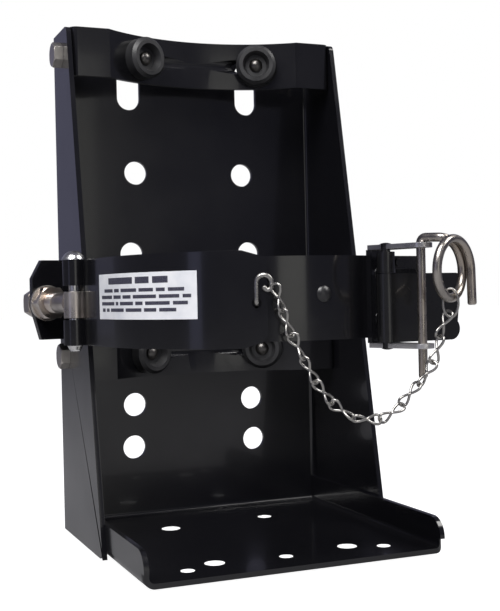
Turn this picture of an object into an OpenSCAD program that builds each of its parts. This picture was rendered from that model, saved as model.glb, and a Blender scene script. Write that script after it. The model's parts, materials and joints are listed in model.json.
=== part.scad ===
// Cylinder bracket: a folded steel body, two saddles, and a hinged band with a latch.
// X is right, +Y goes into the wall, Z is up. The rear face lies on Y = 0.

/* [Bracket body] */
// Overall width of the folded body, mm
body_width = 188; // [160:1:220]
// Overall height of the folded body, mm
body_height = 325; // [280:1:400]
// Sheet thickness of body and saddles, mm
sheet = 3; // [2:0.5:5]
// Inside radius of the body's bends, mm
bend_inside = 3; // [2:0.5:6]
// Depth of the side flanges at the top, mm
flange_top_depth = 42; // [35:1:60]
// Depth of the side flanges at the shelf, mm
flange_base_depth = 104; // [90:1:120]
// Depth of the shelf from the wall, mm
shelf_depth = 178; // [150:1:200]
// Height of the shelf's side lips, mm
lip_height = 20; // [12:1:30]
// Diameter of the wall bolt holes, mm
wall_hole = 15.9; // [8:0.1:20]
// Height of the part's origin above the shelf's underside, mm
origin_height = 130.5; // [100:0.5:160]

/* [Saddles] */
// Height of each saddle, mm
saddle_height = 31; // [20:1:45]
// Radius of the saddle's hollow face, mm
saddle_radius = 115; // [100:1:140]
// Lower edge of the upper saddle above the shelf's underside, mm
upper_saddle_z = 294; // [250:1:294]
// Lower edge of the lower saddle above the shelf's underside, mm
lower_saddle_z = 100; // [60:1:110]
// Diameter of the rubber bumpers, mm
bumper_diameter = 27; // [20:0.5:32]
// Thickness of the rubber bumpers, mm
bumper_thick = 10; // [5:0.5:14]

/* [Band] */
// Outside radius of the closed band, mm
band_radius = 92; // [85:0.5:92]
// Width of the left strap, mm
left_width = 50.8; // [40:0.2:52]
// Thickness of the left strap, mm
left_thick = 3; // [2:0.5:3]
// Width of the right strap, mm
right_width = 44.4; // [36:0.2:45]
// Thickness of the right strap, mm
right_thick = 2; // [1.5:0.5:2]
// Height of the band's middle above the shelf's underside, mm
band_z = 150; // [140:1:160]

/* [Hinge and tensioner] */
// Diameter of the eyebolt's rod, mm
rod_diameter = 12.7; // [10:0.1:13]
// Length of the eyebolt from barrel to tip, mm
rod_length = 57; // [50:1:70]
// Diameter of the hinge pin, mm
hinge_pin_diameter = 6.35; // [5:0.05:6.4]
// Running clearance on the radius of pins, mm
running_clearance = 0.05; // [0.02:0.01:0.1]

/* [Latch] */
// Gap between the clevis ears, mm
clevis_gap = 50; // [48:0.5:56]
// Thickness of the clevis ears, mm
ear_thick = 2.6; // [2.5:0.1:4]
// Length of the lever from its pivot, mm
lever_length = 47; // [40:1:52]
// Diameter of the pull pin's wire, mm
pin_wire = 4.76; // [4:0.02:5]
// Outside diameter of the pull pin's ring, mm
pull_ring = 35; // [30:0.2:38]

/* [Hidden] */
$fn = 48;
bend_outside = bend_inside + sheet;
flange_lean = atan((flange_base_depth - flange_top_depth) / body_height);
half_body = body_width / 2;
// plan position of the band's centre
band_y = -119;
// plan position of the strap's hinge
hinge_at = [-101.2, -79];
knuckle_r = 6.75;
// angle of the strap's straight part from the Y axis
strap_lean = 7.2;
// angle of the eyebolt from the Y axis
rod_lean = 11.8;
bolt_y = -26;
bolt_r = 4.76;
hex_wide = 14.3;
anchor_at = 41;
anchor_edge = 9.4;
// the eyebolt's barrel: its lower face and its height
barrel_low = 140.6;
barrel_high = 16;
// the strap's knuckles stop here, below and above the barrel
knuckle_gap = [139.8, 160.2];
clevis_turn = 24;
pin_at = [47.5, -229.6];
pivot_at = [36.2, -212.6];
lever_turn = 6.7;
ring_r = pull_ring / 2 - pin_wire / 2;
ring_turn = -62;
wall_rows = [[50, 44], [79, 43], [182, 43], [237.5, 39]];
shelf_holes = [[-35.5, -53, 6], [32.5, -47, 4.5], [-61, -160, 4], [-42, -151, 5.8], [0, -155, 4], [42, -149, 5.8], [61.5, -158, 4]];
rivet_turn = 1;

// route of the safety chain, from the hook on the strap to the pull ring
chain_start = [-31.5, -212.5];
chain_end = [55.8, -244.7];
chain_shape = [[0.03, 157], [0.064, 146], [0.1, 135], [0.13, 129], [0.19, 117], [0.26, 105], [0.35, 95], [0.46, 88.5],
  [0.59, 88], [0.68, 92], [0.76, 100], [0.83, 107], [0.89, 116], [0.93, 126.5], [0.965, 138]];
chain_path = [for (q = chain_shape) [chain_start[0] + (chain_end[0] - chain_start[0]) * q[0],
  chain_start[1] + (chain_end[1] - chain_start[1]) * q[0], q[1]]];

function around(r, a) = [r * sin(a), -r * cos(a)];
function unit(v) = v / norm(v);
function tangent_at(p, i) = unit(p[min(i + 1, len(p) - 1)] - p[max(i - 1, 0)]);
function side_of(p) = unit(cross(p[len(p) - 1] - p[0], [0, 0, 1]));

// ---- helpers ----

// puts a shape built from the shelf's underside into the part's own frame
module placed() {
  translate([0, 0, -origin_height]) children();
}

// a flat pie slice about the band's centre, angles counted from straight ahead
module slice(r, a0, a1) {
  polygon(concat([[0, 0]], [for (i = [0:6]) around(r * 2, a0 + (a1 - a0) * i / 6)]));
}

// plan of a curved strap about the band's centre
module curved_strap(r_out, thick, a0, a1) {
  translate([0, band_y]) intersection() {
    difference() {
      circle(r = r_out, $fn = 160);
      circle(r = r_out - thick, $fn = 160);
    }
    slice(r_out, a0, a1);
  }
}

// a hexagon prism with its far corners chamfered
module hex_prism(wide, high) {
  intersection() {
    cylinder(h = high, d = wide / cos(30), $fn = 6);
    union() {
      cylinder(h = high - 1, r = wide);
      translate([0, 0, high - 1]) cylinder(h = 1, r1 = wide * 0.58, r2 = wide * 0.51);
    }
  }
}

// a low dome standing on a flat face
module dome(r, high) {
  ball = (r * r + high * high) / (2 * high);
  intersection() {
    translate([0, 0, high - ball]) sphere(r = ball);
    cylinder(h = high + 1, r = r * 1.02);
  }
}

// turns a shape's Z axis to point outwards from the band at angle a
module on_band(r, a, z) {
  translate([0, band_y, z]) rotate([0, 0, a]) translate([0, -r, 0]) rotate([90, 0, 0]) children();
}

// places a shape on a saddle with its Z axis pointing back to the wall
module on_saddle(side, z) {
  spread = asin(41 / saddle_radius);
  translate([0, -21 - saddle_radius, z]) rotate([0, 0, -side * spread]) translate([0, saddle_radius, 0])
    rotate([-90, 0, 0]) children();
}

// places a shape on the eyebolt's axis, Z pointing back along the rod
module on_rod(along) {
  translate([hinge_at[0], hinge_at[1], band_z]) rotate([0, 0, rod_lean]) translate([0, along, 0])
    rotate([-90, 0, 0]) children();
}

// a channel section, open towards -Y, folded from sheet
module channel_section(width, depth, t, ri) {
  ro = ri + t;
  difference() {
    union() {
      translate([-width / 2, -depth]) square([width, depth - ro]);
      translate([-width / 2 + ro, -ro - 1]) square([width - 2 * ro, ro + 1]);
      for (s = [-1, 1]) translate([s * (width / 2 - ro), -ro]) circle(r = ro);
    }
    translate([-width / 2 + t, -depth - 1]) square([width - 2 * t, depth + 1 - ro]);
    translate([-width / 2 + ro, -ro - 1]) square([width - 2 * ro, ro + 1 - t]);
    for (s = [-1, 1]) translate([s * (width / 2 - ro), -ro]) circle(r = ri);
  }
}

// the part of a square corner that a round of radius r takes away
module corner_cut(r) {
  difference() {
    translate([-1, -1]) square([r + 1, r + 1]);
    translate([r, r]) circle(r = r);
  }
}

// ---- bracket body ----

// side view of the folded body, Y across and Z up
module side_outline() {
  r = 5;
  top_y = -flange_top_depth + r * (1 - sin(flange_lean)) / cos(flange_lean);
  base_y = -flange_base_depth + r * (1 + sin(flange_lean)) / cos(flange_lean);
  out = [-cos(flange_lean), sin(flange_lean)] * r;
  difference() {
    polygon([[0, 0], [0, body_height], [-flange_top_depth, body_height], [-flange_base_depth, 0]]);
    difference() {
      polygon([[-flange_top_depth, body_height], [top_y, body_height], [top_y, body_height - r],
        [top_y, body_height - r] + out]);
      translate([top_y, body_height - r]) circle(r = r);
    }
    difference() {
      polygon([[-flange_base_depth, 0], [base_y, 0], [base_y, r], [base_y, r] + out]);
      translate([base_y, r]) circle(r = r);
    }
  }
}

// back plate with its two side flanges
module folded_back() {
  intersection() {
    linear_extrude(body_height) channel_section(body_width, flange_base_depth, sheet, bend_inside);
    translate([-half_body, 0, 0]) rotate([90, 0, 90]) linear_extrude(body_width) side_outline();
  }
}

// shelf floor with a lip along each side
module folded_shelf() {
  inside = body_width - 2 * sheet;
  difference() {
    translate([0, -sheet / 2, 0]) rotate([90, 0, 0]) linear_extrude(shelf_depth - sheet / 2)
      mirror([0, 1]) channel_section(inside, lip_height, sheet, bend_inside);
    translate([-half_body, -shelf_depth, lip_height]) rotate([90, 0, 90]) linear_extrude(body_width)
      mirror([0, 1]) corner_cut(11);
    for (s = [0, 1]) mirror([s, 0, 0]) translate([-inside / 2, -shelf_depth, -1]) linear_extrude(9) corner_cut(6);
  }
}

// takes the sharp edge off the fold between back plate and shelf
module lower_fold_cut() {
  difference() {
    translate([-half_body - 1, -bend_outside, -1]) cube([body_width + 2, bend_outside + 1, bend_outside + 1]);
    translate([-half_body - 2, -bend_outside, bend_outside]) rotate([0, 90, 0]) cylinder(h = body_width + 4, r = bend_outside);
  }
}

// fills the inside of that fold
module lower_fold_fill() {
  difference() {
    translate([-half_body + sheet, -bend_outside, sheet / 2]) cube([body_width - 2 * sheet, bend_inside + 1, bend_inside + 1.5]);
    translate([-half_body, -bend_outside, bend_outside]) rotate([0, 90, 0]) cylinder(h = body_width, r = bend_inside);
  }
}

module wall_holes() {
  for (row = wall_rows, s = [-1, 1]) translate([s * row[1], 1, row[0]]) rotate([90, 0, 0]) cylinder(h = sheet + 2, d = wall_hole);
  for (s = [-1, 1]) {
    for (z = [288.3, 308.3]) translate([s * 43, 1, z]) rotate([90, 0, 0]) cylinder(h = sheet + 2, d = wall_hole);
    translate([s * 43 - wall_hole / 2, -sheet - 1, 288.3]) cube([wall_hole, sheet + 2, 20]);
  }
}

module flange_holes() {
  for (s = [-1, 1], z = [lower_saddle_z, upper_saddle_z]) translate([s * half_body, bolt_y, z + saddle_height / 2])
    rotate([0, 90, 0]) cylinder(h = 4 * sheet, r = bolt_r + 0.4, center = true);
  for (s = [-1, 1], z = [136, 164]) translate([s * half_body, -22, z]) rotate([0, 90, 0]) cylinder(h = 4 * sheet, r = 3, center = true);
  for (z = [136, 164]) translate([half_body, -56, z]) rotate([0, 90, 0]) cylinder(h = 4 * sheet, r = 3, center = true);
}

module bracket_body() {
  color([0.05, 0.05, 0.055]) placed() difference() {
    union() {
      difference() {
        union() {
          folded_back();
          folded_shelf();
        }
        lower_fold_cut();
      }
      lower_fold_fill();
    }
    wall_holes();
    flange_holes();
    for (h = shelf_holes) translate([h[0], h[1], -1]) cylinder(h = sheet + 2, r = h[2]);
  }
}

// ---- saddles ----

// plan of a saddle: hollow middle, flats beside it, tabs turned back along the flanges
module saddle_plan() {
  mid_y = -21 - saddle_radius;
  flat_x = 66.2;
  face = -flange_top_depth;
  tab = half_body - sheet;
  intersection() {
    translate([0, mid_y]) difference() {
      circle(r = saddle_radius + sheet, $fn = 160);
      circle(r = saddle_radius, $fn = 160);
    }
    translate([-flat_x, mid_y]) square([2 * flat_x, 2 * saddle_radius]);
  }
  for (s = [-1, 1]) scale([s, 1]) {
    translate([flat_x - 0.6, face]) square([tab - 5 - flat_x + 0.6, sheet]);
    translate([tab - sheet, face + 5]) square([sheet, 23]);
    intersection() {
      translate([tab - 5, face + 5]) difference() {
        circle(r = 5);
        circle(r = 2);
      }
      translate([tab - 5, face]) square([5, 5]);
    }
  }
}

module saddle(z) {
  placed() difference() {
    translate([0, 0, z]) linear_extrude(saddle_height) saddle_plan();
    translate([-half_body, bolt_y, z + saddle_height / 2]) rotate([0, 90, 0]) cylinder(h = body_width, r = bolt_r + 0.4);
    for (s = [-1, 1]) on_saddle(s, z + saddle_height / 2) translate([0, 0, -2]) cylinder(h = 8, r = 2.7);
    for (s = [0, 1], e = [0, 1]) mirror([s, 0, 0]) translate([half_body - 8, -14, z + e * saddle_height])
      mirror([0, 0, e]) rotate([90, 0, 90]) linear_extrude(10) mirror([1, 0]) corner_cut(5);
  }
}

module upper_saddle() {
  color([0.05, 0.05, 0.055]) saddle(upper_saddle_z);
}

module lower_saddle() {
  color([0.05, 0.05, 0.055]) saddle(lower_saddle_z);
}

// one shape at each of the four places where a saddle is bolted to a flange
module at_saddle_bolts() {
  for (s = [0, 1], z = [lower_saddle_z, upper_saddle_z]) mirror([s, 0, 0])
    translate([half_body, bolt_y, z + saddle_height / 2]) rotate([0, 90, 0]) children();
}

module saddle_bolts() {
  color([0.7, 0.68, 0.64]) placed() at_saddle_bolts() union() {
    hex_prism(hex_wide, 6);
    translate([0, 0, -19]) cylinder(h = 20, r = bolt_r);
  }
}

module saddle_washers() {
  color([0.7, 0.68, 0.64]) placed() at_saddle_bolts() translate([0, 0, -2 * sheet - 1.6]) difference() {
    cylinder(h = 1.6, r = 10);
    translate([0, 0, -1]) cylinder(h = 4, r = bolt_r + 0.3);
  }
}

module saddle_nuts() {
  color([0.7, 0.68, 0.64]) placed() at_saddle_bolts() translate([0, 0, -2 * sheet - 1.6]) mirror([0, 0, 1]) difference() {
    hex_prism(hex_wide, 8);
    translate([0, 0, -1]) cylinder(h = 10, r = bolt_r + running_clearance);
  }
}

// one shape at each of the four bumpers
module at_bumpers() {
  for (s = [-1, 1], z = [lower_saddle_z, upper_saddle_z]) on_saddle(s, z + saddle_height / 2) children();
}

module rubber_bumpers() {
  color([0.03, 0.03, 0.03]) placed() intersection() {
    at_bumpers() difference() {
      union() {
        translate([0, 0, -bumper_thick]) cylinder(h = 2, r1 = bumper_diameter / 2 - 2, r2 = bumper_diameter / 2);
        translate([0, 0, 2 - bumper_thick]) cylinder(h = bumper_thick, r = bumper_diameter / 2);
      }
      translate([0, 0, -bumper_thick - 1]) cylinder(h = 6.4, r1 = 9.4, r2 = 7.2);
      translate([0, 0, -bumper_thick]) cylinder(h = bumper_thick + 4, r = 2.5);
    }
    translate([0, -21 - saddle_radius, 0]) cylinder(h = body_height, r = saddle_radius, $fn = 160);
  }
}

module bumper_screws() {
  color([0.7, 0.68, 0.64]) placed() at_bumpers() union() {
    translate([0, 0, -5]) mirror([0, 0, 1]) dome(4.6, 2.6);
    translate([0, 0, -5.2]) cylinder(h = 14.5, r = 2.4);
  }
}

module bumper_nuts() {
  color([0.7, 0.68, 0.64]) placed() at_bumpers() translate([0, 0, 3.2]) difference() {
    hex_prism(8, 4);
    translate([0, 0, -1]) cylinder(h = 8, r = 2.4 + running_clearance);
  }
}

// ---- left anchor, eyebolt and right arm ----

// plan of the anchor: one leg on the flange, the other square to the rod
module anchor_plan() {
  t = 4.5;
  rod = hinge_at + anchor_at * [-sin(rod_lean), cos(rod_lean)];
  u = [cos(rod_lean), sin(rod_lean)];
  n = [-sin(rod_lean), cos(rod_lean)];
  reach = (-half_body - rod[0]) / u[0];
  edge = anchor_edge;
  translate([-half_body - t, -34]) square([t, 24]);
  polygon([rod - edge * u, rod + reach * u, [-half_body, -30], [-half_body - t, -30], rod + (reach - t) * u + t * n, rod - edge * u + t * n]);
}

module left_anchor() {
  color([0.05, 0.05, 0.055]) placed() difference() {
    translate([0, 0, band_z - 23]) linear_extrude(50) anchor_plan();
    on_rod(anchor_at - 5) cylinder(h = 15, r = rod_diameter / 2 + 0.4);
    translate([0, 0, 2]) anchor_clip(6.5, 11.5);
    translate([0, 0, 2 * band_z + 2]) mirror([0, 0, 1]) anchor_clip(5.5, 19.6);
    for (z = [136, 164]) translate([-half_body, -22, z]) rotate([0, 90, 0]) cylinder(h = 20, r = 3, center = true);
  }
}

// what is clipped off the upper outer corner of the anchor's front leg
module anchor_clip(w, h) {
  translate([hinge_at[0], hinge_at[1], band_z]) rotate([0, 0, rod_lean]) translate([-anchor_edge, anchor_at + 15, 0])
    rotate([90, 0, 0]) linear_extrude(30) polygon([[-1, 25 - h], [0, 25 - h], [w, 25], [w, 26], [-1, 26]]);
}

// a rivet seen from outside, its Z axis pointing out and its grip g deep
module rivet(r, g) {
  dome(r * 1.9, r * 0.8);
  translate([0, 0, -g]) cylinder(h = g + 0.4, r = r);
  translate([0, 0, -g]) mirror([0, 0, 1]) dome(r * 1.7, r * 0.6);
}

module anchor_rivets() {
  color([0.08, 0.08, 0.08]) placed() for (z = [136, 164]) translate([-half_body - 4.5, -22, z]) rotate([0, -90, 0]) rivet(3, 7.5);
}

module eyebolt() {
  color([0.72, 0.62, 0.54]) placed() difference() {
    union() {
      translate([hinge_at[0], hinge_at[1], barrel_low]) cylinder(h = barrel_high, r = 6.35);
      on_rod(0) cylinder(h = rod_length - 1.5, d = rod_diameter);
      on_rod(rod_length - 1.5) cylinder(h = 1.5, d1 = rod_diameter, d2 = rod_diameter - 2.4);
    }
    translate([hinge_at[0], hinge_at[1], barrel_low - 1]) cylinder(h = barrel_high + 2, r = hinge_pin_diameter / 2 + running_clearance);
  }
}

module eyebolt_washers() {
  color([0.7, 0.68, 0.64]) placed() for (w = [[anchor_at - 2, 22.4], [anchor_at + 4.5, 20.6]]) on_rod(w[0]) difference() {
    cylinder(h = 2, d = w[1]);
    translate([0, 0, -1]) cylinder(h = 4, r = rod_diameter / 2 + 0.3);
  }
}

module eyebolt_nuts() {
  color([0.7, 0.68, 0.64]) placed() for (k = [0, 1]) on_rod(k == 0 ? anchor_at - 2.1 : anchor_at + 6.6) mirror([0, 0, 1 - k]) rotate([0, 0, 30 * k]) difference() {
    hex_prism(19, 8);
    translate([0, 0, -1]) cylinder(h = 12, r = rod_diameter / 2 + running_clearance);
  }
}

module hinge_pin() {
  color([0.75, 0.73, 0.7]) placed() translate([hinge_at[0], hinge_at[1], band_z]) union() {
    translate([0, 0, -29]) cylinder(h = 54.7, d = hinge_pin_diameter);
    translate([0, 0, left_width / 2 + 0.1]) dome(7.2, 5.6);
    translate([0, 0, -left_width / 2 - 2.6]) cylinder(h = 2.4, r1 = 3.6, r2 = 4.8);
  }
}

// plan of the right arm: along the flange, then forward round the band
module arm_plan() {
  lean = [cos(strap_lean), -sin(strap_lean)];
  polygon([[half_body, -14], [half_body, -86.6], (band_radius - sheet) * lean + [0, band_y],
    band_radius * lean + [0, band_y], [half_body + sheet, -86.4], [half_body + sheet, -14]]);
  curved_strap(band_radius, sheet, 52, 90 - strap_lean + 0.2);
  translate([0, band_y]) rotate(52) translate([0.2, -band_radius - 6]) square([sheet, 7.5]);
}

module right_arm() {
  color([0.05, 0.05, 0.055]) placed() difference() {
    translate([0, 0, band_z - right_width / 2]) linear_extrude(right_width) arm_plan();
    for (y = [-22, -56], z = [136, 164]) translate([half_body, y, z]) rotate([0, 90, 0]) cylinder(h = 20, r = 3, center = true);
  }
}

module arm_rivets() {
  color([0.08, 0.08, 0.08]) placed() for (y = [-22, -56], z = [136, 164])
    translate([half_body + sheet, y, z]) rotate([0, 90, 0]) rivet(3, 2 * sheet);
}

// ---- band ----

// plan of the left strap: rolled knuckle, straight part, then round the band
module left_plan() {
  lean = [-cos(strap_lean), -sin(strap_lean)];
  run = [-sin(strap_lean), cos(strap_lean)];
  outer = band_radius * lean + [0, band_y];
  inner = (band_radius - left_thick) * lean + [0, band_y];
  curved_strap(band_radius, left_thick, -90 + strap_lean - 0.2, -19);
  polygon([outer, inner, inner + 50.5 * run, outer + 50.5 * run]);
  translate(hinge_at) circle(r = knuckle_r);
}

module left_strap() {
  color([0.05, 0.05, 0.055]) placed() difference() {
    translate([0, 0, band_z - left_width / 2]) linear_extrude(left_width) left_plan();
    translate([hinge_at[0], hinge_at[1], 0]) cylinder(h = body_height, r = hinge_pin_diameter / 2 + running_clearance);
    translate([hinge_at[0] - 10, hinge_at[1] - 8.5, knuckle_gap[0]]) cube([20, 20, knuckle_gap[1] - knuckle_gap[0]]);
    for (e = [0, 1]) translate([0, band_y, band_z]) mirror([0, 0, e]) rotate([0, 0, -19]) translate([0, 10 - band_radius, 0])
      rotate([90, 0, 0]) linear_extrude(20) polygon([[-13, 25.4], [-3, 22.4], [0, 19], [2, 19], [2, 27], [-13, 27]]);
    on_band(band_radius - 10, -22.5, 148) cylinder(h = 20, r = 2.6);
  }
}

module right_strap() {
  color([0.05, 0.05, 0.055]) placed() difference() {
    translate([0, 0, band_z - right_width / 2]) linear_extrude(right_width) curved_strap(band_radius - left_thick, right_thick, -36, 29);
    on_band(band_radius - 10, rivet_turn, 152) cylinder(h = 20, r = 2.4);
    for (s = [-1, 1]) on_band(band_radius - 10, clevis_turn, band_z + s * 12) cylinder(h = 20, r = 2.4);
    on_band(band_radius - 10, -22.5, 148) cylinder(h = 20, r = 2.6);
  }
}

module strap_rivet() {
  color([0.08, 0.08, 0.08]) placed() on_band(band_radius - left_thick, rivet_turn, 152) rivet(2.3, right_thick + 0.12);
}

module label() {
  run = [-sin(strap_lean), cos(strap_lean)];
  turns = [for (i = [0:16]) -90 + strap_lean + (48 - strap_lean) * i / 16];
  inner = [for (a = turns) around(band_radius + 0.02, a)];
  outer = [for (i = [16:-1:0]) around(band_radius + 0.3, turns[i])];
  color([0.92, 0.92, 0.9]) placed() translate([0, band_y, 140.3]) linear_extrude(25.4)
    polygon(concat([inner[0] + 19.6 * run], inner, outer, [outer[16] + 19.6 * run]));
}

// ---- latch ----

// plan of a clevis ear, leaning towards the pull pin
module ear_plan() {
  root = [0, band_y] + around(band_radius - 1, clevis_turn);
  t = [cos(clevis_turn), sin(clevis_turn)];
  side = unit([-(pin_at - root)[1], (pin_at - root)[0]]);
  polygon([root - 7.4 * t - [0, -2], pin_at - 6 * side, pin_at + 6 * side, root + 7.4 * t]);
  translate(pin_at) circle(r = 6);
}

module latch_base() {
  color([0.05, 0.05, 0.055]) placed() difference() {
    translate([0, 0, band_z - clevis_gap / 2]) linear_extrude(clevis_gap)
      curved_strap(band_radius + 0.2, left_thick + 0.2, clevis_turn - 4.6, clevis_turn + 4.6);
    for (s = [-1, 1]) on_band(band_radius - 10, clevis_turn, band_z + s * 12) cylinder(h = 20, r = 2.4);
  }
}

module clevis_ears() {
  color([0.72, 0.71, 0.68]) placed() difference() {
    for (s = [0, 1]) translate([0, 0, band_z]) mirror([0, 0, s]) translate([0, 0, clevis_gap / 2]) linear_extrude(ear_thick) ear_plan();
    translate([pin_at[0], pin_at[1], 100]) cylinder(h = 100, r = pin_wire / 2 + 0.1);
    translate([pivot_at[0], pivot_at[1], 100]) cylinder(h = 100, r = 2.55);
  }
}

module base_rivets() {
  color([0.7, 0.69, 0.66]) placed() for (s = [-1, 1])
    on_band(band_radius + 0.2, clevis_turn, band_z + s * 12) rivet(2.3, left_thick + right_thick + 0.32);
}

module lever_pivot() {
  color([0.7, 0.69, 0.66]) placed() translate([pivot_at[0], pivot_at[1], band_z]) union() {
    translate([0, 0, -28]) cylinder(h = 56, r = 2.5);
    for (s = [0, 1]) mirror([0, 0, s]) translate([0, 0, clevis_gap / 2 + ear_thick + 0.1]) dome(3.4, 0.8);
  }
}

module latch_lever() {
  color([0.04, 0.04, 0.045]) placed() translate([pivot_at[0], pivot_at[1], 0]) rotate([0, 0, lever_turn]) difference() {
    union() {
      translate([0, 0, 125.5]) cylinder(h = 36.5, r = 5.2);
      translate([0, -2.2, 0]) rotate([90, 0, 0]) linear_extrude(3) union() {
        polygon([[-0.5, 125.5], [38, 125.5], [lever_length - 3.5, 133], [lever_length - 0.5, 158], [lever_length - 4, 162], [-0.5, 162]]);
        translate([lever_length - 7.8, 131.5]) circle(r = 6);
        translate([lever_length - 4.2, 158.3]) circle(r = 3.7);
      }
      translate([4, -2.6, 129]) cube([34, 3.5, 3]);
      translate([4, -2.6, 156]) cube([34, 3.5, 3]);
    }
    translate([0, 0, 100]) cylinder(h = 100, r = 2.5 + running_clearance);
  }
}

module latch_link() {
  color([0.04, 0.04, 0.045]) placed() translate([pivot_at[0], pivot_at[1], 0]) rotate([0, 0, lever_turn + 6]) difference() {
    union() {
      translate([0, 0, 162.4]) cylinder(h = 11.2, r = 4.8);
      translate([0, -0.5, 164.5]) cube([24, 3.5, 7]);
      translate([24, 3, 168]) rotate([90, 0, 0]) cylinder(h = 3.5, r = 3.5);
      translate([8, -1.6, 168]) rotate([-90, 0, 0]) cylinder(h = 3, r = 2.2);
    }
    translate([0, 0, 100]) cylinder(h = 100, r = 2.5 + running_clearance);
  }
}

// ---- pull pin, hook and chain ----

module pull_pin() {
  wire = pin_wire / 2;
  ring_z = 178.7 - ring_r;
  color([0.66, 0.63, 0.58]) placed() translate([pin_at[0], pin_at[1], 0]) union() {
    translate([0, 0, 109]) cylinder(h = 68.3, r = wire);
    translate([0, 0, 107.5]) cylinder(h = 1.5, r1 = wire - 1.2, r2 = wire);
    rotate([0, 0, ring_turn]) {
      translate([2.9, 0, 177.3]) rotate([90, 0, 0]) rotate([0, 0, 90]) rotate_extrude(angle = 90) translate([2.9, 0]) circle(r = wire);
      translate([2.9, 0, 180.2]) rotate([0, 90, 0]) cylinder(h = 11.6, r = wire);
      translate([14.5, 0, 180.2]) sphere(r = wire);
      translate([14.5, 0, ring_z]) rotate([0, 90, 0]) rotate_extrude() translate([ring_r, 0]) circle(r = wire);
      translate([18.9, 0, ring_z]) rotate([90, 0, 90]) rotate_extrude(angle = 90) translate([ring_r, 0]) circle(r = wire);
      translate([18.9, ring_r, ring_z - 18.5]) cylinder(h = 18.5, r = wire);
    }
  }
}

// S-shaped wire hook through the hole at the strap's joint
module strap_hook() {
  color([0.75, 0.74, 0.72]) placed() translate([0, band_y, 148]) rotate([0, 0, -22.5]) translate([0, -band_radius - 3, 0]) union() {
    translate([0, 0, 0]) rotate([-90, 0, 0]) cylinder(h = 8.5, r = 1.25);
    translate([0, 0, 0]) sphere(r = 1.25);
    cylinder(h = 10, r = 1.25);
    translate([4, 0, 10]) rotate([90, 0, 0]) rotate_extrude(angle = 180) translate([4, 0]) circle(r = 1.25);
    translate([8, 0, 4]) cylinder(h = 6, r = 1.25);
    translate([8, 0, 4]) sphere(r = 1.25);
  }
}

// a closed tube swept along a list of points that lie in one upright plane
module swept_tube(p, r, sides) {
  n = side_of(p);
  points = [for (i = [0:len(p) - 1]) let (t = tangent_at(p, i), b = cross(t, n))
    for (k = [0:sides - 1]) p[i] + r * (cos(360 * k / sides) * n + sin(360 * k / sides) * b)];
  last = (len(p) - 1) * sides;
  walls = [for (i = [0:len(p) - 2], k = [0:sides - 1]) [i * sides + k, i * sides + (k + 1) % sides,
    (i + 1) * sides + (k + 1) % sides, (i + 1) * sides + k]];
  ends = [[for (k = [0:sides - 1]) sides - 1 - k], [for (k = [0:sides - 1]) last + k]];
  polyhedron(points, concat(walls, ends), convexity = 6);
}

module chain() {
  color([0.75, 0.74, 0.72]) placed() swept_tube(chain_path, 2, 10);
}

bracket_body();
upper_saddle();
lower_saddle();
saddle_bolts();
saddle_washers();
saddle_nuts();
rubber_bumpers();
bumper_screws();
bumper_nuts();
left_anchor();
anchor_rivets();
right_arm();
arm_rivets();
eyebolt();
eyebolt_washers();
eyebolt_nuts();
hinge_pin();
left_strap();
right_strap();
strap_rivet();
label();
latch_base();
clevis_ears();
base_rivets();
lever_pivot();
latch_lever();
latch_link();
pull_pin();
strap_hook();
chain();
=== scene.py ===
import json
import math
import bmesh
import bpy
from mathutils import Matrix, Vector


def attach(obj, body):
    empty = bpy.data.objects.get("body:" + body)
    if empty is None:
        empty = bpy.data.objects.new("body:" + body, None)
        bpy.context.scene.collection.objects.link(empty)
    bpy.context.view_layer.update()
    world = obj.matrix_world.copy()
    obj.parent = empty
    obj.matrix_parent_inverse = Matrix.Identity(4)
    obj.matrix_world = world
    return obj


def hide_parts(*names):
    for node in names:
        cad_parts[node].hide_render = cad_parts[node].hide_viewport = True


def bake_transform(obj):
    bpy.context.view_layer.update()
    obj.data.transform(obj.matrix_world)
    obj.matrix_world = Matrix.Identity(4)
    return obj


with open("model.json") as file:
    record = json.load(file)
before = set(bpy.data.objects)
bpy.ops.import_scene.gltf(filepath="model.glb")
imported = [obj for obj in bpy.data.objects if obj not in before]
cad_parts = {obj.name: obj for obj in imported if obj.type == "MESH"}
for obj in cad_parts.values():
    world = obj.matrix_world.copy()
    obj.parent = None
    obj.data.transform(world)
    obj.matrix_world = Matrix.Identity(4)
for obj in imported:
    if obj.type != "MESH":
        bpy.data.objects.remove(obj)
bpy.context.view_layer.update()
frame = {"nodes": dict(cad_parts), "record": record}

scene = bpy.context.scene
BASE = 0.1305              # height of the part's origin above the shelf's underside
BAND_CENTRE = (0, -119)    # plan position of the closed band's centre, mm


def mm(x, y, z):
    """A point given in millimetres above the shelf's underside, as the CAD counts them."""
    return Vector((x / 1000, y / 1000, z / 1000 - BASE))


# ---- camera ----

CAMERA_AT = (-249.8, -719, 152.2)      # mm
CAMERA_TURN = (22.25, -0.40, -1.27)    # yaw, pitch and roll, degrees
CAMERA_LENS = 63.87                    # mm, on a sensor 36 mm wide
CAMERA_SHIFT = (0.00065, -0.0046)


def make_camera():
    yaw, pitch, roll = (math.radians(angle) for angle in CAMERA_TURN)
    ahead = Vector((math.sin(yaw) * math.cos(pitch), math.cos(yaw) * math.cos(pitch), math.sin(pitch)))
    flat_right = Vector((math.cos(yaw), -math.sin(yaw), 0))
    flat_up = flat_right.cross(ahead)
    right = math.cos(roll) * flat_right + math.sin(roll) * flat_up
    up = right.cross(ahead)
    data = bpy.data.cameras.new("camera")
    data.lens = CAMERA_LENS
    data.sensor_width = 36
    data.shift_x, data.shift_y = CAMERA_SHIFT
    data.clip_end = 50
    cam = bpy.data.objects.new("camera", data)
    scene.collection.objects.link(cam)
    turn = Matrix((right, up, -ahead)).transposed().to_4x4()
    cam.matrix_world = Matrix.Translation(mm(*CAMERA_AT)) @ turn
    scene.camera = cam


make_camera()


# ---- mesh helpers ----

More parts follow.
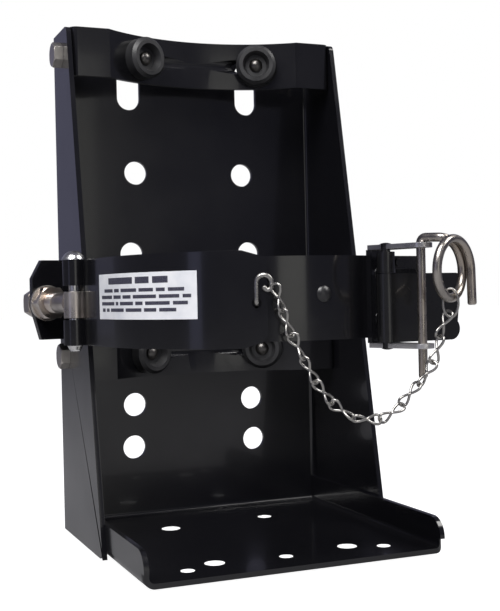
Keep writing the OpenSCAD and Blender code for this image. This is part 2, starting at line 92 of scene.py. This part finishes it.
def new_object(name, bm, material, body, smooth=True):
    """Turns finished mesh work into an object with one material, riding on a body if it has one."""
    mesh = bpy.data.meshes.new(name)
    bm.to_mesh(mesh)
    bm.free()
    obj = bpy.data.objects.new(name, mesh)
    scene.collection.objects.link(obj)
    mesh.materials.append(material)
    for p in mesh.polygons:
        p.use_smooth = smooth
    if body:
        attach(obj, body)
    return obj


def circle_angles(count):
    """Evenly spaced angles round a circle, in radians."""
    return [2 * math.pi * k / count for k in range(count)]


def sweep(bm, path, radius, sides, closed=False):
    """A round wire along a list of points. A closed one has its frames untwisted to meet."""
    n = len(path)
    tangents = []
    for i in range(n):
        a = path[(i - 1) % n] if closed or i > 0 else path[0]
        b = path[(i + 1) % n] if closed or i < n - 1 else path[-1]
        tangents.append((b - a).normalized())
    side = tangents[0].orthogonal().normalized()
    frames = []
    for i in range(n):
        side = (side - side.dot(tangents[i]) * tangents[i]).normalized()
        frames.append((side.copy(), tangents[i].cross(side)))
    twist = 0.0
    if closed:
        last = frames[-1][0] - frames[-1][0].dot(tangents[0]) * tangents[0]
        last.normalize()
        twist = math.atan2(last.dot(frames[0][1]), last.dot(frames[0][0]))
    rings = []
    for i in range(n):
        s, u = frames[i]
        back = -twist * i / n
        r = radius[i] if isinstance(radius, list) else radius
        rings.append([bm.verts.new(path[i] + r * (math.cos(t + back) * s + math.sin(t + back) * u))
                      for t in circle_angles(sides)])
    for i in range(n if closed else n - 1):
        a, b = rings[i], rings[(i + 1) % n]
        for k in range(sides):
            bm.faces.new((a[k], a[(k + 1) % sides], b[(k + 1) % sides], b[k]))
    if not closed:
        bm.faces.new(rings[0][::-1])
        bm.faces.new(rings[-1])


def rounded_ends(path, radius):
    """A wire's path and its radii, with shrinking rings added so both ends look cut and filed."""
    steps, chamfer = 3, 0.45
    a = (path[0] - path[1]).normalized()
    b = (path[-1] - path[-2]).normalized()
    lead = [path[0] + a * radius * chamfer * math.sin(math.pi / 2 * k / steps) for k in range(steps, 0, -1)]
    tail = [path[-1] + b * radius * chamfer * math.sin(math.pi / 2 * k / steps) for k in range(1, steps + 1)]
    shrink = [1 - chamfer * (1 - math.cos(math.pi / 2 * k / steps)) for k in range(1, steps + 1)]
    radii = [radius * s for s in shrink[::-1]] + [radius] * len(path) + [radius * s for s in shrink]
    return lead + path + tail, radii


def dressed(node, material, width):
    """A copy of a CAD node with its sharp edges rounded, standing for that node."""
    flat_angle, sharp_angle = math.radians(0.6), math.radians(32)
    source = frame["nodes"][node]
    bm = bmesh.new()
    bm.from_mesh(source.data)
    bmesh.ops.remove_doubles(bm, verts=bm.verts, dist=2e-6)
    bmesh.ops.dissolve_limit(bm, angle_limit=flat_angle, verts=bm.verts, edges=bm.edges)
    sharp = [e for e in bm.edges if len(e.link_faces) == 2 and e.calc_face_angle(0) > sharp_angle]
    bmesh.ops.bevel(bm, geom=sharp, offset=width, offset_type="OFFSET", segments=2, profile=0.5,
                    affect="EDGES", clamp_overlap=True, harden_normals=False)
    bmesh.ops.triangulate(bm, faces=[f for f in bm.faces if len(f.verts) > 4], ngon_method="EAR_CLIP")
    body = [b for b, nodes in frame["record"]["behaviour"]["bodies"].items() if node in nodes][0]
    obj = new_object(node + "_piece", bm, material, body)
    level_normals(obj, 28)
    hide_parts(node)
    return obj


def mark_creases(obj, angle):
    obj.data.set_sharp_from_angle(angle=math.radians(angle))


def level_normals(obj, angle):
    """Shade each corner with the area-weighted normal of its smooth fan, so flat faces stay flat."""
    bm = bmesh.new()
    bm.from_mesh(obj.data)
    limit = math.radians(angle)
    normals = {}
    for vert in bm.verts:
        left = set(vert.link_faces)
        while left:
            fan, todo = set(), [left.pop()]
            while todo:
                face = todo.pop()
                fan.add(face)
                for edge in face.edges:
                    if vert in edge.verts and len(edge.link_faces) == 2 and edge.calc_face_angle(0) < limit:
                        more = [f for f in edge.link_faces if f in left]
                        left.difference_update(more)
                        todo.extend(more)
            total = sum((f.normal * f.calc_area() for f in fan), Vector())
            for face in fan:
                normals[face.index, vert.index] = total.normalized() if total.length > 0 else face.normal
    bm.free()
    mesh = obj.data
    mesh.set_sharp_from_angle(angle=limit)
    mesh.normals_split_custom_set([normals[p.index, mesh.loops[i].vertex_index]
                                   for p in mesh.polygons for i in p.loop_indices])


# ---- materials ----

def base_material(name, color, rough, metal=0.0, coat=0.0, coat_rough=0.1):
    mat = bpy.data.materials.new(name)
    mat.use_nodes = True
    shader = mat.node_tree.nodes["Principled BSDF"]
    shader.inputs["Base Color"].default_value = (*color, 1)
    shader.inputs["Roughness"].default_value = rough
    shader.inputs["Metallic"].default_value = metal
    shader.inputs["Coat Weight"].default_value = coat
    shader.inputs["Coat Roughness"].default_value = coat_rough
    return mat, mat.node_tree, shader


def noise(tree, scale, detail=3.0, stretch=None, rough=0.5):
    coords = tree.nodes.new("ShaderNodeTexCoord")
    node = tree.nodes.new("ShaderNodeTexNoise")
    node.inputs["Scale"].default_value = scale
    node.inputs["Detail"].default_value = detail
    node.inputs["Roughness"].default_value = rough
    if stretch:
        mapping = tree.nodes.new("ShaderNodeMapping")
        mapping.inputs["Scale"].default_value = stretch
        tree.links.new(coords.outputs["Object"], mapping.inputs["Vector"])
        tree.links.new(mapping.outputs["Vector"], node.inputs["Vector"])
    else:
        tree.links.new(coords.outputs["Object"], node.inputs["Vector"])
    return node.outputs["Fac"]


def feed(tree, source, stops, socket):
    """Drives a socket from a texture through a colour ramp."""
    node = tree.nodes.new("ShaderNodeValToRGB")
    el = node.color_ramp.elements
    while len(el) < len(stops):
        el.new(0.5)
    for e, (pos, col) in zip(el, stops):
        e.position = pos
        e.color = (*col, 1)
    tree.links.new(source, node.inputs["Fac"])
    tree.links.new(node.outputs["Color"], socket)


def bump(tree, shader, source, strength, distance, under=None):
    node = tree.nodes.new("ShaderNodeBump")
    node.inputs["Strength"].default_value = strength
    node.inputs["Distance"].default_value = distance
    tree.links.new(source, node.inputs["Height"])
    if under is not None:
        tree.links.new(under, node.inputs["Normal"])
    tree.links.new(node.outputs["Normal"], shader.inputs["Normal"])
    return node.outputs["Normal"]


def grey(v):
    return (v, v, v)


def powder_coat(name, color, rough, dust):
    """Gloss black powder coat: orange peel, small changes of gloss, and fine pale dust."""
    mat, tree, shader = base_material(name, color, rough, coat=0.3, coat_rough=0.06)
    peel = noise(tree, 420, 2.0)
    waves = noise(tree, 60, 2.0)
    first = bump(tree, shader, waves, 0.05, 0.0005)
    bump(tree, shader, peel, 0.10, 0.0001, first)
    gloss = noise(tree, 26, 4.0)
    feed(tree, gloss, [(0.3, grey(rough - 0.04)), (0.7, grey(rough + 0.06))], shader.inputs["Roughness"])
    specks = noise(tree, 700, 4.0, rough=0.65)
    thin_dust = tuple(c + dust for c in color)
    thick_dust = tuple(c + dust * 1.5 for c in color)
    stops = [(0.0, color), (0.74, color), (0.84, thin_dust), (1.0, thick_dust)]
    feed(tree, specks, stops, shader.inputs["Base Color"])
    return mat


def plated(name, dark, light, rough, stretch=(1, 1, 1), tint=None):
    """Zinc or bright steel with streaks, dull patches and small pits."""
    mat, tree, shader = base_material(name, light, rough, metal=1.0)
    streaks = noise(tree, 55, 3.0, stretch, 0.5)
    feed(tree, streaks, [(0.25, dark), (0.5, light), (0.75, tint or light)], shader.inputs["Base Color"])
    patches = noise(tree, 120, 3.0)
    feed(tree, patches, [(0.3, grey(rough - 0.05)), (0.72, grey(rough + 0.10))], shader.inputs["Roughness"])
    fine = noise(tree, 1100, 3.0, stretch)
    bump(tree, shader, fine, 0.06, 0.0001)
    return mat


def rubber_material(name):
    """Moulded rubber with a fine grain and a dull bloom."""
    mat, tree, shader = base_material(name, (0.012, 0.012, 0.013), 0.42)
    grain = noise(tree, 1800, 3.0)
    bump(tree, shader, grain, 0.25, 0.0002)
    bloom = noise(tree, 70, 4.0)
    feed(tree, bloom, [(0.3, (0.009, 0.009, 0.01)), (0.75, (0.024, 0.024, 0.026))], shader.inputs["Base Color"])
    feed(tree, bloom, [(0.3, grey(0.36)), (0.7, grey(0.55))], shader.inputs["Roughness"])
    return mat


def label_material(name):
    """White label stock, a little stained."""
    mat, tree, shader = base_material(name, (0.8, 0.81, 0.82), 0.35)
    stain = noise(tree, 90, 5.0)
    feed(tree, stain, [(0.3, (0.70, 0.72, 0.76)), (0.6, (0.82, 0.83, 0.85))], shader.inputs["Base Color"])
    bump(tree, shader, noise(tree, 700, 2.0), 0.1, 0.0001)
    return mat


def ink_material(name):
    """Dark print, worn a little."""
    mat, tree, shader = base_material(name, (0.03, 0.03, 0.05), 0.5)
    fade = noise(tree, 1500, 3.0)
    feed(tree, fade, [(0.35, (0.02, 0.02, 0.04)), (0.75, (0.09, 0.09, 0.12))], shader.inputs["Base Color"])
    return mat


def glow_paint_material(name):
    """Hole walls painted pale, with a painted glow that stands in for the bright ground seen below through the
    shelf's holes.
    """
    mat, tree, shader = base_material(name, (0.85, 0.85, 0.84), 0.35)
    grain = noise(tree, 900, 3.0)
    feed(tree, grain, [(0.3, (0.78, 0.78, 0.77)), (0.7, (0.9, 0.9, 0.89))], shader.inputs["Base Color"])
    # painted glow: the walls give off light though they are no lamp
    shader.inputs["Emission Color"].default_value = (1, 1, 1, 1)
    shader.inputs["Emission Strength"].default_value = 0.55
    return mat


black_body = powder_coat("body_black", (0.0045, 0.0045, 0.0058), 0.20, 0.010)
black_saddle = powder_coat("saddle_black", (0.0045, 0.0045, 0.0056), 0.20, 0.010)
black_band = powder_coat("band_black", (0.0045, 0.0045, 0.0055), 0.17, 0.010)
black_latch = powder_coat("latch_black", (0.0035, 0.0035, 0.004), 0.24, 0.006)
zinc = plated("zinc_hardware", (0.34, 0.32, 0.30), (0.56, 0.53, 0.49), 0.32)
dark_zinc = plated("dark_zinc", (0.055, 0.053, 0.05), (0.12, 0.115, 0.11), 0.34)
zinc_clevis = plated("clevis_zinc", (0.42, 0.415, 0.42), (0.64, 0.63, 0.63), 0.30)
copper_zinc = plated("eyebolt_zinc", (0.38, 0.35, 0.33), (0.60, 0.56, 0.52), 0.30, (1, 1, 0.25),
                     (0.52, 0.43, 0.37))
bright_pin = plated("pin_steel", (0.55, 0.55, 0.55), (0.72, 0.72, 0.71), 0.22)
wire_steel = plated("wire_steel", (0.26, 0.245, 0.23), (0.42, 0.39, 0.355), 0.27, (1, 1, 0.3),
                    (0.40, 0.345, 0.29))
chain_steel = plated("chain_steel", (0.25, 0.243, 0.235), (0.40, 0.39, 0.37), 0.27)
rivet_black = powder_coat("rivet_black", (0.0045, 0.0045, 0.0055), 0.42, 0.010)
rubber = rubber_material("bumper_rubber")
label_white = label_material("label_white")
label_ink = ink_material("label_ink")
# painted glow for the walls of the shelf's holes, standing in for bright ground seen through them
painted_hole_glow = glow_paint_material("painted_hole_glow")


# ---- safety chain: its route is the one in the CAD ----

def smooth_path(points, per):
    """A smooth curve through the points, with so many steps between each two."""
    out = []
    for i in range(len(points) - 1):
        p0, p1 = points[max(i - 1, 0)], points[i]
        p2, p3 = points[i + 1], points[min(i + 2, len(points) - 1)]
        for k in range(per):
            t = k / per
            out.append(0.5 * ((2 * p1) + (p2 - p0) * t + (2 * p0 - 5 * p1 + 4 * p2 - p3) * t * t
                              + (3 * p1 - p0 - 3 * p2 + p3) * t ** 3))
    out.append(points[-1].copy())
    return out


def path_length(path):
    return sum((b - a).length for a, b in zip(path, path[1:]))


def resample(path, count):
    """The path again, with its points spaced evenly."""
    total = path_length(path)
    out, walked, i = [path[0].copy()], 0.0, 0
    for k in range(1, count):
        want = total * k / count
        while walked + (path[i + 1] - path[i]).length < want:
            walked += (path[i + 1] - path[i]).length
            i += 1
        step = path[i + 1] - path[i]
        out.append(path[i] + step * ((want - walked) / step.length))
    out.append(path[-1].copy())
    return out


PIN = mm(47.5, -229.6, 0)
RING_TURN = math.radians(-62)
ALONG = Vector((math.cos(RING_TURN), math.sin(RING_TURN), 0))      # the way the ring's coil runs
ACROSS = Vector((-math.sin(RING_TURN), math.cos(RING_TURN), 0))    # level, in the ring's plane
RING_R = 15.12             # radius of the ring's centre line, mm
RING_Z = 178.7 - RING_R    # height of the ring's centre, mm
RING_FOOT = 16.9           # how far out the coil is at its lowest point, mm
WIRE = 0.00238             # the pull pin's radius, metres


def at_pin(a, h, z):
    """A point a mm out along the pull pin's bent leg, h mm across it and z mm above the shelf."""
    return PIN + ALONG * (a / 1000) + ACROSS * (h / 1000) + Vector((0, 0, z / 1000))


CHAIN_START, CHAIN_END = (-31.5, -212.5), (55.8, -244.7)
# how much of the way from start to end, and the height in mm
CHAIN_SHAPE = [(0.03, 157), (0.064, 146), (0.1, 135), (0.13, 129), (0.19, 117), (0.26, 105),
               (0.35, 95), (0.46, 88.5), (0.59, 88), (0.68, 92), (0.76, 100), (0.83, 107),
               (0.89, 116), (0.93, 126.5), (0.965, 138)]
chain_points = [mm(CHAIN_START[0] + (CHAIN_END[0] - CHAIN_START[0]) * t,
                   CHAIN_START[1] + (CHAIN_END[1] - CHAIN_START[1]) * t, z) for t, z in CHAIN_SHAPE]
chain_points.append(at_pin(RING_FOOT, 0, 139.8))
CHAIN_WIRE = 0.0007        # radius, metres
CHAIN_LINKS = 12
LINK_HALF_WIDTH = 0.0029


def figure_eight(bm, centre, forward, side, other, half, wide):
    """One link: a forward loop in one plane and a back loop square to it."""
    loop = [(half * math.sin(t / 2), wide * math.sin(t)) for t in circle_angles(18)]
    pts = [centre + forward * x - side * y for x, y in loop]
    pts += [centre - forward * x - other * y for x, y in loop]
    pts[len(loop)] += forward * 0.00001      # keeps the two loops' shared point from lying on itself
    sweep(bm, pts, CHAIN_WIRE, 8, closed=True)


def make_chain():
    path = smooth_path(chain_points, 10)
    pitch = path_length(path) / CHAIN_LINKS
    stations = resample(path, CHAIN_LINKS * 2)
    bm = bmesh.new()
    level = chain_points[-1] - chain_points[0]
    level.z = 0
    normal = level.cross(Vector((0, 0, 1))).normalized()
    for i in range(CHAIN_LINKS):
        centre = stations[2 * i + 1]
        forward = (stations[2 * i + 2] - stations[2 * i]).normalized()
        turn = math.radians(38 + 14 * math.sin(2.3 * i))
        up = forward.cross(normal).normalized()
        side = (math.cos(turn) * normal + math.sin(turn) * up).normalized()
        other = forward.cross(side)
        figure_eight(bm, centre, forward, side, other, pitch / 2 + CHAIN_WIRE * 1.05, LINK_HALF_WIDTH)
    # the wire loop that joins the last link to the pull pin's ring
    eye = [at_pin(RING_FOOT + 3.5 * math.sin(t), 1.6 * math.sin(t), 146.0 + 7.3 * math.cos(t))
           for t in circle_angles(32)]
    sweep(bm, eye, CHAIN_WIRE, 8, closed=True)
    obj = new_object("safety_chain", bm, chain_steel, None)
    line = resample(path + [at_pin(RING_FOOT, 0, 145.5), at_pin(RING_FOOT, 0, 151)], 60)
    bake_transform(obj)
    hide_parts("chain")


make_chain()


# ---- the CAD nodes, each with its edges rounded and its own finish ----

# node, finish, and width of its rounded edges in metres
DRESS = [
    ("bracket_body", black_body, 0.0006), ("left_anchor", black_body, 0.0007),
    ("upper_saddle", black_saddle, 0.0006), ("lower_saddle", black_saddle, 0.0006),
    ("left_strap", black_band, 0.0005), ("right_strap", black_band, 0.0004), ("right_arm", black_band, 0.0005),
    ("latch_lever", black_latch, 0.0006), ("latch_link", black_latch, 0.0005),
    ("anchor_rivets", black_band, 0.0002), ("arm_rivets", black_band, 0.0002),
    ("strap_rivet", rivet_black, 0.0002),
    ("saddle_bolts", zinc, 0.0004), ("saddle_washers", zinc, 0.0003), ("saddle_nuts", zinc, 0.0003),
    ("bumper_screws", dark_zinc, 0.0002), ("bumper_nuts", zinc, 0.0003),
    ("lever_pivot", black_latch, 0.0002), ("base_rivets", black_band, 0.0002),
    ("latch_base", black_band, 0.0004), ("clevis_ears", zinc_clevis, 0.0006),
    ("eyebolt_washers", copper_zinc, 0.0004), ("eyebolt_nuts", copper_zinc, 0.0005),
    ("hinge_pin", bright_pin, 0.0004), ("rubber_bumpers", rubber, 0.0016),
    ("label", label_white, 0.00008),
]
dressed_pieces = {node: dressed(node, material, width) for node, material, width in DRESS}

# centre and radius of each hole in the shelf, metres
SHELF_HOLES = [(-0.0355, -0.053, 0.006), (0.0325, -0.047, 0.0045), (-0.061, -0.16, 0.004),
               (-0.042, -0.151, 0.0058), (0, -0.155, 0.004), (0.042, -0.149, 0.0058), (0.0615, -0.158, 0.004)]


def paint_glow_on_hole_walls(obj, material):
    """Gives the walls of the holes in the shelf the painted glow, in place of the bright ground seen through
    them.
    """
    obj.data.materials.append(material)
    for face in obj.data.polygons:
        c = face.center
        inside = any(math.hypot(c.x - x, c.y - y) < r + 0.0003 for x, y, r in SHELF_HOLES)
        in_sheet = -BASE < c.z < -BASE + 0.0027
        if inside and in_sheet and abs(face.normal.z) < 0.8:
            face.material_index = 1


# painted glow on the shelf's hole walls
paint_glow_on_hole_walls(dressed_pieces["bracket_body"], painted_hole_glow)


# ---- pull pin: one wire, bent at the top and coiled a turn and a quarter ----

def make_pull_pin():
    bend, lean_in = 2.9, 3.5
    coil_start, coil_pitch = 14.5, 4.9
    first_deg, last_deg, turn_deg = 14, 450, 346
    quarter = [math.radians(a) for a in range(0, 91, 15)]
    pts = [at_pin(0, 0, z) for z in (108.1, 112, 125, 140, 155, 168, 175)]
    pts += [at_pin(bend - bend * math.cos(a), 0, 177.3 + bend * math.sin(a)) for a in quarter]
    pts += [at_pin(6, 0, 180.1), at_pin(9, 0, 180.0)]
    for a in quarter[:-1]:
        drop = 1.4 * (a / (math.pi / 2)) ** 1.5
        pts.append(at_pin(11 + lean_in * math.sin(a), lean_in - lean_in * math.cos(a), 179.9 - drop))
    for k in range(73):
        deg = first_deg + (last_deg - first_deg) * k / 72
        t = math.radians(deg)
        out = coil_start + coil_pitch * (deg - first_deg) / turn_deg
        pts.append(at_pin(out, RING_R * math.sin(t), RING_Z + RING_R * math.cos(t)))
    pts += [at_pin(out + 0.02 * k, RING_R, RING_Z - k) for k in (3, 7, 11, 15, 17.9)]
    path, radii = rounded_ends(pts, WIRE)
    bm = bmesh.new()
    sweep(bm, path, radii, 24)
    obj = new_object("pull_pin_wire", bm, wire_steel, "pin")
    mark_creases(obj, 50)
    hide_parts("pull_pin")


make_pull_pin()


# ---- hook that holds the chain to the band ----

HOOK_WIRE = 0.00125        # radius, metres


def make_hook():
    turn = math.radians(-22.5)
    out = Vector((math.sin(turn), -math.cos(turn), 0))
    side = Vector((math.cos(turn), math.sin(turn), 0))
    foot = mm(*BAND_CENTRE, 148) + out * 0.095
    small, large, curl = 2, 3.9, 1.9      # radii of the wire's three bends, mm

    def at(x, y, z):
        return foot + side * (x / 1000) + out * (y / 1000) + Vector((0, 0, z / 1000))

    pts = [at(0, -6.5, -1.5), at(0, -4.5, -0.6), at(0, -2.6, -0.4)]
    pts += [at(0, -small + small * math.sin(a), 1.6 - small * math.cos(a))
            for a in map(math.radians, range(0, 91, 18))]
    pts += [at(0, 0, 4), at(0, 0, 8)]
    pts += [at(large - large * math.cos(a), 0, 10.5 + large * math.sin(a))
            for a in map(math.radians, range(0, 181, 15))]
    pts += [at(7.8, 0.2, 9.4)]
    pts += [at(5.9 + curl * math.cos(a), 0.5, 8.6 - curl * math.sin(a))
            for a in map(math.radians, range(10, 171, 20))]
    path, radii = rounded_ends(pts, HOOK_WIRE)
    bm = bmesh.new()
    sweep(bm, path, radii, 14)
    obj = new_object("strap_hook_wire", bm, chain_steel, "band")
    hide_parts("strap_hook")


make_hook()


# ---- eyebolt: forged eye and a rod with a rolled thread ----

HINGE = (-101.2, -79)      # plan position of the hinge pin, mm
ROD_LEAN = 11.8            # degrees


def make_eyebolt():
    centre = mm(*HINGE, 0)
    lean = math.radians(ROD_LEAN)
    ahead = Vector((-math.sin(lean), math.cos(lean), 0))
    side = Vector((math.cos(lean), math.sin(lean), 0))
    bm = bmesh.new()
    # the eye, as a closed ring of profile points turned about the hinge's axis
    profile = [(3.225, 140.9), (3.5, 140.6), (6.0, 140.6), (6.35, 140.95),
               (6.35, 156.25), (6.0, 156.6), (3.5, 156.6), (3.225, 156.3)]
    cols = [[bm.verts.new(centre + Vector((r * math.cos(t), r * math.sin(t), z)) / 1000) for r, z in profile]
            for t in circle_angles(48)]
    for k in range(len(cols)):
        a, b = cols[k], cols[(k + 1) % len(cols)]
        for j in range(len(profile)):
            jj = (j + 1) % len(profile)
            bm.faces.new((a[j], b[j], b[jj], a[jj]))
    # the rod: plain near the eye, threaded from 20 mm to the tip
    pitch, depth, radius = 1.954, 0.62, 6.35
    thread_start, chamfer_start, rod_end = 20, 55.4, 57.01
    sides = 40
    rings = []
    s = 4.2
    while s < rod_end:
        ring = []
        for k, t in enumerate(circle_angles(sides)):
            r = radius - 0.06
            if s > thread_start:
                phase = (s / pitch - k / sides) % 1.0
                tooth = abs(2 * phase - 1)
                fade_in = min(1.0, (s - thread_start) / 2)
                r = radius - depth * fade_in * min(1, max(0, 1.25 * tooth - 0.12))
            if s > chamfer_start:
                r -= (s - chamfer_start) * 0.8
            ring.append(bm.verts.new(centre + Vector((0, 0, 0.150)) + ahead * (s / 1000)
                                     + (side * math.cos(t) + Vector((0, 0, math.sin(t)))) * (r / 1000)))
        rings.append(ring)
        s += 0.28 if s > 19.5 else 2.5
    for a, b in zip(rings, rings[1:]):
        for k in range(sides):
            bm.faces.new((a[k], a[(k + 1) % sides], b[(k + 1) % sides], b[k]))
    bm.faces.new(rings[0][::-1])
    bm.faces.new(rings[-1])
    bmesh.ops.recalc_face_normals(bm, faces=bm.faces)
    obj = new_object("eyebolt_threaded", bm, copper_zinc, "tensioner")
    mark_creases(obj, 40)
    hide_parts("eyebolt")


make_eyebolt()


# ---- plain bars on the label, in place of its print ----

STRAP_LEAN = 7.2           # angle of the strap's straight part from the Y axis, degrees
LABEL_R = 92.3             # radius of the label's outer face, mm
LABEL_FLAT = 19.6          # how much of the label lies on the strap's straight part, mm
INK_LIFT = 0.04            # how far the bars stand off the label, mm


def label_point(s, z):
    """A point just off the label: s mm from its left edge, z mm above the shelf's underside."""
    lean = math.radians(STRAP_LEAN)
    out = Vector((-math.cos(lean), -math.sin(lean), 0))
    run = Vector((-math.sin(lean), math.cos(lean), 0))
    r = (LABEL_R + INK_LIFT) / 1000
    if s < LABEL_FLAT:
        return mm(*BAND_CENTRE, z) + out * r + run * ((LABEL_FLAT - s) / 1000)
    a = math.radians(STRAP_LEAN - 90) + (s - LABEL_FLAT) / LABEL_R
    return mm(*BAND_CENTRE, z) + Vector((math.sin(a), -math.cos(a), 0)) * r


def make_print():
    bm = bmesh.new()
    # each row's height, the thickness of its bars, and where each bar starts and ends, mm
    rows = [(161.6, 3.6, [(14, 41.5), (44, 55), (57.5, 68)]),
            (156.3, 1.9, [(8, 20), (22, 28), (30, 45), (47, 58), (60, 66), (68, 78)]),
            (152.7, 1.9, [(4, 19), (21, 30), (32, 40), (42, 60), (62, 75), (77, 82)]),
            (149.1, 1.9, [(4, 22), (24, 27), (29, 42), (44, 50), (52, 69), (71, 80)]),
            (145.5, 1.9, [(5, 9), (11, 15), (17, 33), (35, 49), (51, 60), (62, 73)])]
    for z, high, words in rows:
        for s0, s1 in words:
            cells = max(1, int((s1 - s0) / 1.5))
            stops = [s0 + (s1 - s0) * i / cells for i in range(cells + 1)]
            low = [bm.verts.new(label_point(s, z - high / 2)) for s in stops]
            top = [bm.verts.new(label_point(s, z + high / 2)) for s in stops]
            for i in range(cells):
                bm.faces.new((low[i], low[i + 1], top[i + 1], top[i]))
    obj = new_object("label_bars", bm, label_ink, "band")


make_print()


# ---- floor, light and world ----

def make_stage():
    bm = bmesh.new()
    corners = [bm.verts.new((x, y, -BASE - 0.0015)) for x, y in ((-6, -4), (6, -4), (6, 8), (-6, 8))]
    bm.faces.new(corners)
    mat, tree, shader = base_material("floor_pale", (0.75, 0.75, 0.75), 0.6)
    tone = noise(tree, 3, 2.0)
    feed(tree, tone, [(0.3, (0.26, 0.26, 0.27)), (0.7, (0.28, 0.28, 0.29))], shader.inputs["Base Color"])
    # the floor looks near white to the camera and throws little light on to the gloss black
    shader.inputs["Emission Color"].default_value = (1, 1, 1, 1)
    paths = tree.nodes.new("ShaderNodeLightPath")
    glow = tree.nodes.new("ShaderNodeMath")
    glow.operation = "MULTIPLY_ADD"
    glow.inputs[1].default_value = 0.93
    glow.inputs[2].default_value = 0.06
    tree.links.new(paths.outputs["Is Camera Ray"], glow.inputs[0])
    tree.links.new(glow.outputs[0], shader.inputs["Emission Strength"])
    floor = new_object("floor", bm, mat, None, smooth=False)

    def soft_light(name, direction, distance, wide, high, power, color):
        """A panel that faces the part from a direction."""
        data = bpy.data.lights.new(name, "AREA")
        data.shape = "RECTANGLE"
        data.size, data.size_y = wide, high
        data.energy = power
        data.color = color
        light = bpy.data.objects.new(name, data)
        scene.collection.objects.link(light)
        aim = Vector((0, -0.1, 0.02))
        place = aim + Vector(direction).normalized() * distance
        light.visible_camera = False
        facing = (place - aim).to_track_quat("Z", "Y").to_matrix().to_4x4()
        light.matrix_world = Matrix.Translation(place) @ facing

    soft_light("front_panel", (0.055, -1, 0.0), 1.66, 0.58, 1.1, 1.7, (1, 0.99, 0.90))
    soft_light("left_panel", (-0.90, -0.43, 0.10), 1.8, 0.30, 1.0, 0.55, (0.62, 0.64, 1))
    soft_light("rear_left_panel", (-0.36, 1, 0.30), 1.5, 0.75, 1.0, 0.26, (0.62, 0.62, 1))
    soft_light("rear_right_panel", (0.75, 0.66, 0.3), 1.6, 0.5, 1.0, 0.6, (0.80, 0.80, 1))
    soft_light("high_key", (-0.55, -0.65, 1.15), 1.8, 1.1, 1.1, 46, (1, 0.99, 0.98))
    soft_light("high_right", (0.85, -0.45, 1.0), 1.8, 0.8, 0.8, 16, (1, 0.98, 0.95))

    world = bpy.data.worlds.new("studio")
    world.use_nodes = True
    scene.world = world
    tree = world.node_tree
    tree.nodes.clear()
    out = tree.nodes.new("ShaderNodeOutputWorld")
    mix = tree.nodes.new("ShaderNodeMixShader")
    seen = tree.nodes.new("ShaderNodeBackground")
    seen.inputs["Color"].default_value = (1, 1, 1, 1)
    around = tree.nodes.new("ShaderNodeBackground")
    around.inputs["Color"].default_value = (0.10, 0.10, 0.135, 1)
    paths = tree.nodes.new("ShaderNodeLightPath")
    tree.links.new(paths.outputs["Is Camera Ray"], mix.inputs[0])
    tree.links.new(around.outputs[0], mix.inputs[1])
    tree.links.new(seen.outputs[0], mix.inputs[2])
    tree.links.new(mix.outputs[0], out.inputs["Surface"])
    scene.view_settings.view_transform = "Standard"


make_stage()
